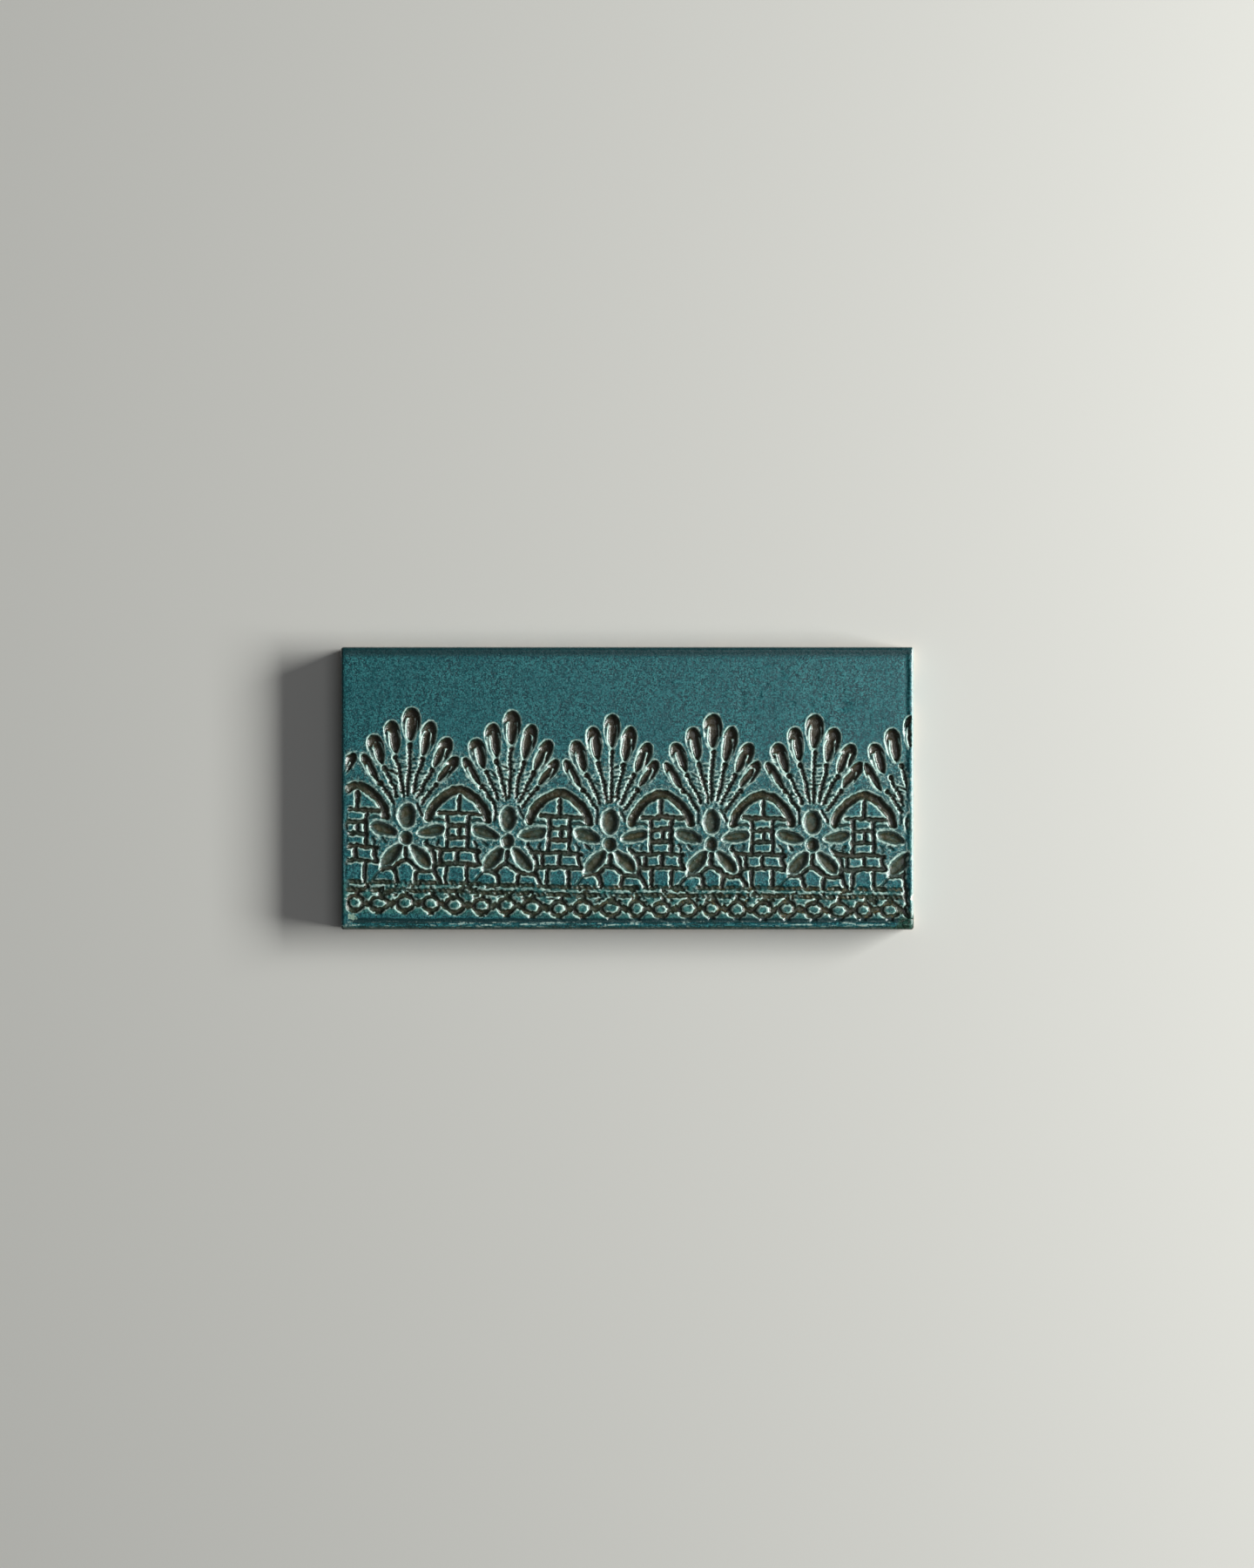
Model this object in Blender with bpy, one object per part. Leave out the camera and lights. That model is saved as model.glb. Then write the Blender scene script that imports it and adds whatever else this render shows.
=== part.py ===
"""Pressed-clay subway tile with a band of lace pressed into its glazed face.

One slab of fired clay, 152 x 75 mm. It lies on its back: +Z points out of the
glazed face, +X runs along the length and +Y towards the plain part of the
face. The origin is the centre of the back.

The carving is sunken. A strip of lace was laid along the lower two thirds of
the soft face and rolled in, so its beads, petals, stems, arches and threads
are recesses, and its openings are pads left at the level of the face.
"""
import math

import bmesh
import bpy
from mathutils import Vector
from mathutils.geometry import delaunay_2d_cdt

for old in list(bpy.data.objects):
    bpy.data.objects.remove(old, do_unlink=True)

MM = 0.001

# ---- the slab, in millimetres ------------------------------------------------
LENGTH = 152.0
WIDTH = 75.0
THICK = 9.0              # to the crest of the glaze lip
FACE = 8.82              # the flat field of the face
CORNER_R = 0.8           # corners seen from the front
CORNER_STEPS = 3
SIDE_STEPS_X = 15        # points along a long side
SIDE_STEPS_Y = 7         # points along a short side

# rings from the field out over the edge and down to the back: inset, height
EDGE_RINGS = (
    (1.50, FACE),        # where the field ends
    (0.95, THICK),       # crest of the lip
    (0.42, 8.80),
    (0.10, 8.25),
    (0.00, 7.50),        # top of the straight side
    (0.00, 0.55),        # foot of the straight side
    (0.55, 0.00),        # back arris, eased
)

# ---- the lace strip ----------------------------------------------------------
PITCH = 26.87            # one motif of the lace
FIRST_MOTIF = -57.80     # centre of the first whole motif
MOTIFS = range(-1, 6)    # the strip runs past both ends of the tile
CLIP_LEFT = -74.2        # the impression fades out short of the lip
CLIP_RIGHT = 73.6

# depths of the impression
BEAD_DEPTH = 1.05
PETAL_DEPTH = 0.95
BOSS_DEPTH = 1.00
ARCH_DEPTH = 0.90
STEM_DEPTH = 0.60
MESH_DEPTH = 0.50
BORDER_DEPTH = 0.55

# the fan: each bead from its outer to its inner tip, about the motif's centre,
# then its half width and how much wider its outer half is
BEADS = (
    ((-0.30, 19.80), (-0.30, 10.10), 2.30, 0.18),
    ((-5.75, 16.25), (-4.35, 7.05), 2.15, 0.14),
    ((-10.40, 12.25), (-7.65, 3.85), 2.15, 0.14),
    ((-12.80, 7.15), (-8.35, -0.10), 1.40, 0.10),
    ((5.05, 16.45), (3.30, 6.80), 2.00, 0.14),
    ((9.80, 12.10), (6.35, 3.90), 2.00, 0.14),
    ((12.00, 7.30), (7.20, 0.25), 1.62, 0.10),
)
# each bead's stem, from the bead down to where the stems run together
STEMS = (
    ((-0.20, 9.90), (-0.40, 3.90), (-0.46, -3.20)),
    ((-4.00, 6.60), (-2.50, 1.40), (-1.43, -3.40)),
    ((-6.70, 3.60), (-5.08, -0.20), (-3.55, -3.70)),
    ((-7.90, -0.40), (-5.70, -3.40), (-4.20, -5.60)),
    ((3.10, 6.20), (1.94, 1.90), (1.10, -2.80)),
    ((5.80, 3.60), (4.06, 0.20), (2.20, -3.70)),
    ((6.90, -0.60), (4.70, -3.40), (2.80, -5.60)),
)
STEM_HALF = 0.56

# the flower: centre, half length, half width, direction of each petal
PETALS = (
    ((-0.62, -8.80), 3.45, 2.25, 90.0),
    ((-6.55, -12.70), 3.95, 1.82, 164.0),
    ((6.00, -12.65), 3.95, 1.72, 11.0),
    ((-4.25, -19.60), 4.05, 1.98, 229.5),
    ((3.45, -19.55), 4.15, 1.84, -47.5),
)
BOSS = (-0.58, -14.84)
BOSS_R = 1.80

# the arch that joins one motif to the next
ARCH_MID = 12.95
ARCH_FOOT = -9.20
ARCH_HALF_SPAN = 7.75
ARCH_RISE = 7.70
ARCH_POWER = 1.57               # a little pointed
ARCH_HALF = 1.20                # half the width of the band

# the mesh below the arch, about the line midway between two motifs
MESH_MID = 13.30
MESH_HALF = 0.50
MESH_ROWS = ((-7.85, 5.6), (-11.25, 3.9), (-14.40, 4.2), (-17.40, 6.6), (-21.30, 6.6))
MESH_POSTS = (                  # offset from the midline, from, to
    (-0.20, -2.30, -7.85),
    (-3.10, -7.85, -11.25), (2.60, -7.85, -11.25),
    (0.00, -11.25, -14.40), (-3.30, -11.25, -14.40), (3.20, -11.25, -14.40),
    (-3.10, -14.40, -17.40), (2.40, -14.40, -17.40),
    (-0.20, -17.40, -21.30),
    (-3.10, -21.30, -26.10), (2.40, -21.30, -26.10),
)
# the threads below the flower, round a five-sided opening
LOW_THREADS = (
    ((-6.60, -22.95), (-3.65, -22.90)), ((-3.65, -22.90), (-0.55, -19.60)),
    ((-0.55, -19.60), (2.85, -22.90)), ((2.85, -22.90), (6.40, -23.00)),
    ((-3.65, -22.90), (-2.70, -26.10)), ((2.85, -22.90), (2.35, -26.10)),
)

# the border: two straight cords over a chain of rings
CORDS = ((-26.10, 0.55), (-28.20, 0.55))
RING_PITCH = PITCH / 4.0
RING_OFFSET = -0.20
RING_V = -31.85
RING_A = 2.45                   # half axes of the ring's centre line
RING_B = 1.80
RING_HALF = 0.62


# ---- where the strip lies on the tile ----------------------------------------
def strip_rise(x):
    """The strip climbs towards the left end of the tile."""
    left = max(0.0, -4.0 - x)
    right = max(0.0, x - 10.0)
    return 0.70 * (left / 27.0) ** 1.23 - 0.26 * (right / 40.0) ** 1.4


def place(s, t):
    """Strip coordinates to tile coordinates."""
    slope = (strip_rise(s + 0.5) - strip_rise(s - 0.5))
    return (s - (t + 5.0) * slope, t + strip_rise(s))


# ---- outlines and centre lines -----------------------------------------------
LOOPS = []      # (points, depth): closed outlines in strip coordinates
LINES = []      # (points, depth): open centre lines
LAWS = []       # (low s, high s, low t, high t, depth as a function of s, t)


def add_law(points, margin, law):
    ss, ts = [p[0] for p in points], [p[1] for p in points]
    LAWS.append((min(ss) - margin, max(ss) + margin, min(ts) - margin, max(ts) + margin, law))


def impression(s, t):
    """How deep the impression is at a point of the strip."""
    return max((law(s, t) for s0, s1, t0, t1, law in LAWS
                if s0 <= s <= s1 and t0 <= t <= t1), default=0.0)


def leaf(tip_a, tip_b, half, swell, depth, counts, levels):
    """A leaf-shaped recess from tip_a to tip_b, widest towards tip_a."""
    ax, ay = tip_a
    bx, by = tip_b
    cx, cy = (ax + bx) / 2, (ay + by) / 2
    length = math.hypot(ax - bx, ay - by) / 2
    dx, dy = (ax - bx) / (2 * length), (ay - by) / (2 * length)
    for count, (rho, share) in zip(counts, levels):
        points = []
        for i in range(count):
            angle = 2 * math.pi * (i + 0.5) / count
            p = rho * math.cos(angle)
            q = rho * math.sin(angle) * half * (1 + swell * p)
            points.append((cx + p * length * dx - q * dy, cy + p * length * dy + q * dx))
        LOOPS.append((points, depth * share))
    inner, share = levels[-1]

    def law(s, t):
        p = ((s - cx) * dx + (t - cy) * dy) / length
        q = (-(s - cx) * dy + (t - cy) * dx) / (half * (1 + swell * p))
        rho = math.hypot(p, q)
        if rho >= 1.0:
            return 0.0
        if rho > inner:
            return depth * share * (1.0 - rho) / (1.0 - inner)
        return depth * (share + (1.0 - share) * min(1.0, (inner - rho) / (0.5 * inner)))

    add_law([tip_a, tip_b], half * (1 + swell), law)
    keel = 0.30
    LINES.append(([(cx - keel * length * dx, cy - keel * length * dy),
                   (cx + keel * length * dx, cy + keel * length * dy)], depth))


def groove(points, half, depth):
    """A recess along a line, its rims half a width either side."""
    left, right = [], []
    for i, (x, y) in enumerate(points):
        x0, y0 = points[max(i - 1, 0)]
        x1, y1 = points[min(i + 1, len(points) - 1)]
        run = math.hypot(x1 - x0, y1 - y0)
        nx, ny = -(y1 - y0) / run, (x1 - x0) / run
        left.append((x + nx * half, y + ny * half))
        right.append((x - nx * half, y - ny * half))
    LOOPS.append((left + right[::-1], 0.0))
    LINES.append((list(points), depth))
    spans = []
    for (x0, y0), (x1, y1) in zip(points, points[1:]):
        run = math.hypot(x1 - x0, y1 - y0)
        spans.append((x0, y0, (x1 - x0) / run, (y1 - y0) / run, run))

    def law(s, t):
        nearest = half
        for x0, y0, dx, dy, run in spans:
            along = (s - x0) * dx + (t - y0) * dy
            if 0.0 <= along <= run:
                nearest = min(nearest, abs(-(s - x0) * dy + (t - y0) * dx))
        return depth * (1.0 - nearest / half)

    add_law(points, half, law)


def annulus(cx, cy, a, b, half, depth):
    """An oval groove about a pad that stays at the level of the face."""
    for count, grow, share in ((12, half, 0.0), (12, 0.0, 1.0), (8, -half, 0.0)):
        LOOPS.append(([(cx + (a + grow) * math.cos(2 * math.pi * (i + 0.5) / count),
                        cy + (b + grow) * math.sin(2 * math.pi * (i + 0.5) / count))
                       for i in range(count)], depth * share))

    def law(s, t):
        angle = math.atan2((t - cy) / b, (s - cx) / a)
        middle = math.hypot(a * math.cos(angle), b * math.sin(angle))
        return depth * max(0.0, 1.0 - abs(math.hypot(s - cx, t - cy) - middle) / half)

    add_law([(cx - a, cy - b), (cx + a, cy + b)], half, law)


def motif(s):
    """One repeat of the lace, its centre at s along the strip."""
    for tip_a, tip_b, half, swell in BEADS:
        leaf((s + tip_a[0], tip_a[1]), (s + tip_b[0], tip_b[1]), half, swell, BEAD_DEPTH,
             (14, 10), ((1.0, 0.0), (0.62, 0.75)))
    for stem in STEMS:
        groove([(s + u, v) for u, v in stem], STEM_HALF, STEM_DEPTH)
    for (u, v), length, half, turn in PETALS:
        c, n = math.cos(math.radians(turn)), math.sin(math.radians(turn))
        leaf((s + u + length * c, v + length * n), (s + u - length * c, v - length * n),
             half, 0.12, PETAL_DEPTH, (14, 10), ((1.0, 0.0), (0.62, 0.78)))
    leaf((s + BOSS[0], BOSS[1] + BOSS_R), (s + BOSS[0], BOSS[1] - BOSS_R), BOSS_R, 0.0, BOSS_DEPTH,
         (10, 7), ((1.0, 0.0), (0.60, 0.9)))
    arch = []
    for i in range(13):
        angle = math.pi * i / 12
        c, n = math.cos(angle), math.sin(angle)
        power = 2.0 / ARCH_POWER
        arch.append((s + ARCH_MID - math.copysign(abs(c) ** power, c) * ARCH_HALF_SPAN,
                     ARCH_FOOT + n ** power * ARCH_RISE))
    groove(arch, ARCH_HALF, ARCH_DEPTH)
    mid = s + MESH_MID
    for v, reach in MESH_ROWS:
        groove([(mid - reach, v), (mid + reach, v)], MESH_HALF, MESH_DEPTH)
    for u, high, low in MESH_POSTS:
        groove([(mid + u, high), (mid + u, low)], MESH_HALF, MESH_DEPTH)
    for points in LOW_THREADS:
        groove([(s + u, v) for u, v in points], MESH_HALF, MESH_DEPTH)
    for k in range(4):
        annulus(s + RING_OFFSET + k * RING_PITCH, RING_V, RING_A, RING_B, RING_HALF, BORDER_DEPTH)


for number in MOTIFS:
    motif(FIRST_MOTIF + number * PITCH)
for v, half in CORDS:
    groove([(-92.0 + 8.0 * i, v) for i in range(24)], half, BORDER_DEPTH)


# ---- trim the strip to the tile ----------------------------------------------
def trim_loop(points):
    """Cut a closed outline off square at both ends of the impression."""
    for limit, side in ((CLIP_LEFT, 1.0), (CLIP_RIGHT, -1.0)):
        kept = []
        for i, (x1, y1) in enumerate(points):
            x0, y0 = points[i - 1]
            in0, in1 = (x0 - limit) * side >= 0, (x1 - limit) * side >= 0
            if in0 != in1:
                f = (limit - x0) / (x1 - x0)
                kept.append((limit, y0 + f * (y1 - y0)))
            if in1:
                kept.append((x1, y1))
        points = kept
    return points


def trim_line(points):
    runs, run = [], []
    for i, (x1, y1) in enumerate(points):
        if i:
            x0, y0 = points[i - 1]
            for limit in (CLIP_LEFT, CLIP_RIGHT):
                if (x0 - limit) * (x1 - limit) < 0:
                    f = (limit - x0) / (x1 - x0)
                    run.append((limit, y0 + f * (y1 - y0)))
        if CLIP_LEFT <= x1 <= CLIP_RIGHT:
            run.append((x1, y1))
        elif run:
            runs.append(run)
            run = []
    if len(run) > 1:
        runs.append(run)
    return [r for r in runs if len(r) > 1]


verts2, edges2, depths = [], [], []


def add_chain(points, depth, closed):
    base = len(verts2)
    for x, y in points:
        verts2.append((x, y))
        depths.append(depth)
    count = len(points)
    for i in range(count if closed else count - 1):
        edges2.append((base + i, base + (i + 1) % count))


# the rim of the field comes first, so its points keep their order
def rim_ring(inset):
    """A rounded rectangle, inset from the sides, always the same point count."""
    radius = max(CORNER_R - inset, 0.20)
    hx, hy = LENGTH / 2 - inset - radius, WIDTH / 2 - inset - radius
    ring = []
    for cx, cy, start in ((hx, hy, 0), (-hx, hy, 90), (-hx, -hy, 180), (hx, -hy, 270)):
        for i in range(CORNER_STEPS + 1):
            angle = math.radians(start + 90.0 * i / CORNER_STEPS)
            ring.append((cx + radius * math.cos(angle), cy + radius * math.sin(angle)))
        steps = SIDE_STEPS_X if start in (0, 180) else SIDE_STEPS_Y
        x0, y0 = ring[-1]
        nxt = {0: (-hx, hy + radius), 90: (-hx - radius, -hy),
               180: (hx, -hy - radius), 270: (hx + radius, hy)}[start]
        for i in range(1, steps):
            f = i / steps
            ring.append((x0 + (nxt[0] - x0) * f, y0 + (nxt[1] - y0) * f))
    return ring


rim = rim_ring(EDGE_RINGS[0][0])
add_chain(rim, 0.0, True)
for points, depth in LOOPS:
    points = trim_loop([place(x, y) for x, y in points])
    if len(points) > 2:
        add_chain(points, depth, True)
for points, depth in LINES:
    for run in trim_line([place(x, y) for x, y in points]):
        add_chain(run, depth, False)


def unplace(x, y):
    """Tile coordinates back to strip coordinates."""
    s = x
    for _ in range(3):
        slope = strip_rise(s + 0.5) - strip_rise(s - 0.5)
        t = y - strip_rise(s)
        s = x + (t + 5.0) * slope
    return s, y - strip_rise(s)


# ---- mesh the field ----------------------------------------------------------
out_verts, out_edges, out_faces, orig_verts, _, _ = delaunay_2d_cdt(
    [Vector(v) for v in verts2], edges2, [list(range(len(rim)))], 1, 0.02)

# a point where outlines cross takes the deepest of what meets there
heights = []
for point, sources in zip(out_verts, orig_verts):
    x, y = point[0], point[1]
    stated = max((depths[i] for i in sources), default=0.0)
    if CLIP_LEFT - 0.01 <= x <= CLIP_RIGHT + 0.01:
        stated = max(stated, impression(*unplace(x, y)))
    heights.append(stated)

mesh = bpy.data.meshes.new("tile")
bm = bmesh.new()
top = [bm.verts.new((p[0] * MM, p[1] * MM, (FACE - h) * MM)) for p, h in zip(out_verts, heights)]
for face in out_faces:
    bm.faces.new([top[i] for i in face])

first_of = {}
for index, sources in enumerate(orig_verts):
    for source in sources:
        if source < len(rim):
            first_of[source] = index
ring = [top[first_of[i]] for i in range(len(rim))]
for inset, z in EDGE_RINGS[1:]:
    outer = [bm.verts.new((x * MM, y * MM, z * MM)) for x, y in rim_ring(inset)]
    count = len(outer)
    for i in range(count):
        bm.faces.new((ring[i], outer[i], outer[(i + 1) % count], ring[(i + 1) % count]))
    ring = outer
bm.faces.new(ring[::-1])
bmesh.ops.recalc_face_normals(bm, faces=bm.faces)
bmesh.ops.triangulate(bm, faces=[f for f in bm.faces if len(f.verts) > 3])
bm.to_mesh(mesh)
bm.free()

tile = bpy.data.objects.new("tile", mesh)
bpy.context.scene.collection.objects.link(tile)
mesh.shade_smooth()
mesh.set_sharp_from_angle(angle=math.radians(28))

# ---- the glaze ---------------------------------------------------------------
glaze = bpy.data.materials.new("teal_glaze")
glaze.use_nodes = True
shader = glaze.node_tree.nodes["Principled BSDF"]
shader.inputs["Base Color"].default_value = (0.030, 0.120, 0.130, 1.0)
shader.inputs["Roughness"].default_value = 0.22
shader.inputs["Metallic"].default_value = 0.0
shader.inputs["Coat Weight"].default_value = 0.4
mesh.materials.append(glaze)
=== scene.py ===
"""A subway tile with a strip of lace pressed into the clay, under a glaze that
breaks pale over the rims and pools dark in the hollows.

Lengths are in millimetres until the mesh is made. x runs along the tile, y
towards its plain half, and z is the height over the back."""

import math

import bpy
import numpy as np
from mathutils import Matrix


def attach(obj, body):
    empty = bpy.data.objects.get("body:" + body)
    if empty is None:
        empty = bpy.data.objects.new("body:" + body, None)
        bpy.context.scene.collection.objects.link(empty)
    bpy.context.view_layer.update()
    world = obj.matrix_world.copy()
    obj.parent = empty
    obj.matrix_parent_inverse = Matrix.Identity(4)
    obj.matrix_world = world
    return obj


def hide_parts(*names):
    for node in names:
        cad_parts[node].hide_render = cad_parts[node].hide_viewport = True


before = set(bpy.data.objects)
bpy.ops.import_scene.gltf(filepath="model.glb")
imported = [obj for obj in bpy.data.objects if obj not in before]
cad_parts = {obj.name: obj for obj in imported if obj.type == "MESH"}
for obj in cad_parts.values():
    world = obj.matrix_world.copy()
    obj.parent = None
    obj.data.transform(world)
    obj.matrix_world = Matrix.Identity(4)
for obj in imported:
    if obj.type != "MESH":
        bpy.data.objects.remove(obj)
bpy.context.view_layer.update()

# ---- the slab ------------------------------------------------------------------
LENGTH, WIDTH, FACE = 152.0, 75.0, 8.82
CORNER = 0.75                   # radius of the corners, and width of the rounded shoulder
STEP = 0.14                     # spacing of the grid that the relief is drawn on
FACES = 195000                  # triangles kept once flat places are thinned out

# the shoulder of the face, from the field outwards: place on the grid, inset, height
RIM = (
    (0.00, 0.750, 8.820), (0.10, 0.650, 8.800), (0.20, 0.550, 8.765), (0.30, 0.455, 8.715),
    (0.40, 0.355, 8.640), (0.48, 0.265, 8.540), (0.56, 0.175, 8.390), (0.63, 0.095, 8.170),
    (0.69, 0.035, 7.860), (0.75, 0.000, 7.450),
)
# the side and the lower arris: inset, height
SIDE = ((0.0, 6.3), (0.0, 5.0), (0.0, 3.6), (0.0, 2.2), (0.0, 1.1), (0.06, 0.55), (0.22, 0.20), (0.55, 0.0))

# ---- the lace, in its own strip: s along it, t across ---------------------------
PITCH, FIRST_MOTIF = 26.87, -57.80

# a bead: outer tip, inner tip, half width, swell; its inner leaf: outer tip,
# inner tip, half width
BEADS = (
    ((-0.30, 19.85), (-0.30, 9.95), 2.28, 0.32, (-0.10, 18.2), (-0.25, 10.80), 1.36),
    ((-5.75, 16.30), (-4.40, 6.90), 2.05, 0.28, (-5.15, 14.7), (-4.05, 7.40), 1.26),
    ((-10.45, 12.30), (-7.70, 3.80), 2.08, 0.28, (-9.55, 10.9), (-7.35, 4.30), 1.24),
    ((-12.90, 7.10), (-8.35, -0.50), 1.34, 0.20, (-11.6, 5.6), (-8.25, -0.15), 0.96),
    ((5.05, 16.50), (3.25, 6.65), 1.98, 0.28, (4.25, 14.6), (3.10, 7.10), 1.16),
    ((9.85, 12.15), (6.25, 3.75), 1.98, 0.26, (8.55, 10.6), (6.00, 4.15), 1.16),
    ((12.10, 7.35), (7.20, 0.10), 1.64, 0.22, (10.7, 5.6), (7.05, 0.45), 0.98),
)
STEMS = (
    ((-0.20, 9.90), (-0.45, 6.80), (-0.40, 3.40), (-0.46, 0.2), (-0.46, -3.40)),
    ((-4.05, 6.60), (-3.35, 4.20), (-2.55, 1.20), (-1.95, -1.4), (-1.43, -3.60)),
    ((-6.90, 3.60), (-6.10, 1.60), (-5.08, -0.20), (-4.25, -2.0), (-3.55, -3.90)),
    ((-8.00, -0.30), (-6.80, -1.80), (-5.70, -3.40), (-4.90, -4.6), (-4.20, -5.80)),
    ((3.05, 6.40), (2.60, 4.20), (1.94, 1.90), (1.50, -0.4), (1.10, -3.00)),
    ((5.80, 3.60), (5.00, 1.90), (4.06, 0.20), (3.10, -1.8), (2.10, -3.90)),
    ((6.90, -0.30), (5.80, -1.80), (4.70, -3.40), (3.80, -4.6), (2.90, -5.70)),
)
# a petal: middle, half length, half width, turn in degrees, swell
PETALS = (
    ((-0.62, -8.80), 3.50, 2.40, 90.0, 0.02),
    ((-6.55, -12.70), 3.95, 1.80, 164.0, 0.10),
    ((6.00, -12.65), 3.95, 1.70, 11.0, 0.08),
    ((-4.25, -19.60), 4.05, 1.98, 229.5, 0.12),
    ((3.45, -19.55), 4.15, 1.80, -47.5, 0.12),
)
BOSS, BOSS_R = (-0.58, -14.84), 1.80
ARCH_MID, ARCH_FOOT, ARCH_HALF_SPAN, ARCH_RISE, ARCH_POWER = 12.95, -9.20, 7.75, 7.70, 1.57
ARCH_HALF = 1.27
# the threads of the net about one flower, each a line through points
THREADS = (
    # rows across the net, left of the flower
    ((-14.6, -7.60), (-7.9, -8.00)),
    ((-14.6, -11.00), (-12.2, -10.85), (-11.25, -11.3)),
    ((-14.6, -14.10), (-11.3, -14.10)),
    ((-14.6, -17.30), (-11.2, -17.45), (-8.1, -17.70)),
    ((-14.6, -21.00), (-10.9, -21.20), (-7.8, -21.30)),
    # posts left of the flower
    ((-13.85, -3.2), (-13.90, -7.50)),
    ((-11.15, -8.0), (-11.25, -10.3), (-11.30, -12.7), (-11.15, -15.1), (-11.20, -17.5)),
    ((-13.45, -11.2), (-13.45, -14.0)),
    ((-13.85, -17.6), (-13.85, -20.9)),
    ((-8.85, -17.8), (-8.70, -19.5), (-7.95, -21.3)),
    ((-11.20, -21.4), (-11.15, -25.9)),
    # round the lower petals and the five-sided opening between them
    ((-6.60, -22.95), (-4.95, -22.75), (-3.65, -22.9), (-2.75, -21.9), (-1.85, -21.1), (-0.60, -20.6)),
    ((-3.65, -22.9), (-2.85, -24.0), (-2.60, -25.9)),
    ((-0.60, -20.6), (0.70, -21.2), (1.80, -22.0), (2.85, -22.9)),
    ((-0.55, -17.6), (-0.65, -19.2), (-0.60, -20.5)),
    ((2.85, -22.9), (2.40, -24.3), (2.30, -25.9)),
    ((2.85, -22.9), (4.45, -23.2), (6.50, -23.0)),
    ((4.75, -16.2), (5.75, -17.1), (6.80, -18.9), (7.30, -20.9), (6.95, -22.7), (7.70, -24.3), (8.70, -25.8)),
    # rows across the net, right of the flower
    ((8.0, -7.70), (12.3, -7.80)),
    ((10.25, -11.10), (12.3, -11.10)),
    ((10.25, -14.25), (12.3, -14.20)),
    ((5.75, -17.30), (10.3, -17.55), (12.3, -17.45)),
    ((7.20, -21.30), (12.3, -21.20)),
    # posts right of the flower
    ((10.05, -8.3), (10.25, -11.1), (10.25, -14.3)),
    ((10.20, -14.5), (10.20, -17.3)),
    ((8.55, -17.9), (8.55, -21.2)),
    ((10.25, -21.6), (10.15, -25.9)),
)
# fainter threads beside the top petal, and about the other petals
FAINT = (
    ((-6.60, -22.95), (-7.75, -23.9), (-9.20, -25.8)),
    ((-4.35, -5.2), (-4.15, -7.4), (-4.2, -9.2)),
    ((1.90, -5.6), (2.70, -7.2), (3.40, -8.6)),
    ((-10.9, -9.9), (-9.0, -9.45), (-7.2, -9.7)),
    ((9.9, -9.9), (8.2, -9.45), (6.4, -9.6)),
    ((-9.4, -15.0), (-8.6, -16.1), (-8.9, -17.2)),
    ((-6.9, -15.1), (-6.0, -16.0)),
    ((7.9, -15.1), (7.3, -16.2), (7.9, -17.2)),
    ((5.0, -15.2), (4.4, -15.9)),
)
THREAD_HALF, THREAD_DEPTH = 0.72, 0.66
CORD_1, CORD_2 = -26.15, -28.25
RING_PITCH, RING_OFFSET, RING_V, RING_A, RING_B, RING_HALF = PITCH / 4.0, -0.20, -31.75, 2.18, 1.85, 0.76


def smooth(a, b, x):
    f = np.clip((x - a) / (b - a), 0.0, 1.0)
    return f * f * (3.0 - 2.0 * f)


def value_noise(x, y, scale, seed):
    """Smooth seeded noise in -1..1, its lattice `scale` millimetres apart."""
    rng = np.random.RandomState(seed)
    table = rng.uniform(-1.0, 1.0, (257, 257))
    u, v = x / scale + 97.3, y / scale + 61.7
    iu, iv = np.floor(u).astype(int), np.floor(v).astype(int)
    fu, fv = u - iu, v - iv
    fu, fv = fu * fu * (3 - 2 * fu), fv * fv * (3 - 2 * fv)
    iu, iv = iu % 256, iv % 256
    a, b = table[iv, iu], table[iv, iu + 1]
    c, d = table[iv + 1, iu], table[iv + 1, iu + 1]
    return (a * (1 - fu) + b * fu) * (1 - fv) + (c * (1 - fu) + d * fu) * fv


def fractal(x, y, scale, seed, octaves=3):
    total, size, weight = 0.0, scale, 1.0
    for k in range(octaves):
        total = total + weight * value_noise(x, y, size, seed + 7 * k)
        size, weight = size * 0.5, weight * 0.55
    return total / 1.6


def strip_rise(x):
    """How far the strip of lace climbs off its line, towards either end."""
    left = np.maximum(0.0, -4.0 - x)
    right = np.maximum(0.0, x - 10.0)
    return 0.70 * (left / 27.0) ** 1.23 - 0.26 * (right / 40.0) ** 1.4


def unplace(x, y):
    """Strip coordinates of a point on the tile."""
    s = x
    for _ in range(3):
        slope = strip_rise(s + 0.5) - strip_rise(s - 0.5)
        t = y - strip_rise(s)
        s = x + (t + 5.0) * slope
    t = y - strip_rise(s)
    # the border hangs a little lower than the rest, most at the left end
    return s, t + (0.20 + 0.50 * smooth(-45.0, -75.0, x)) * smooth(-21.0, -27.0, t)


def blur(field, sigma):
    """Gaussian blur, sigma in millimetres."""
    r = max(1, int(round(3.0 * sigma / STEP)))
    k = np.exp(-0.5 * (np.arange(-r, r + 1) * STEP / sigma) ** 2)
    k /= k.sum()
    out = np.pad(field, ((r, r), (0, 0)), mode="edge")
    out = sum(k[i] * out[i:i + field.shape[0]] for i in range(2 * r + 1))
    out = np.pad(out, ((0, 0), (r, r)), mode="edge")
    return sum(k[i] * out[:, i:i + field.shape[1]] for i in range(2 * r + 1))


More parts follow.
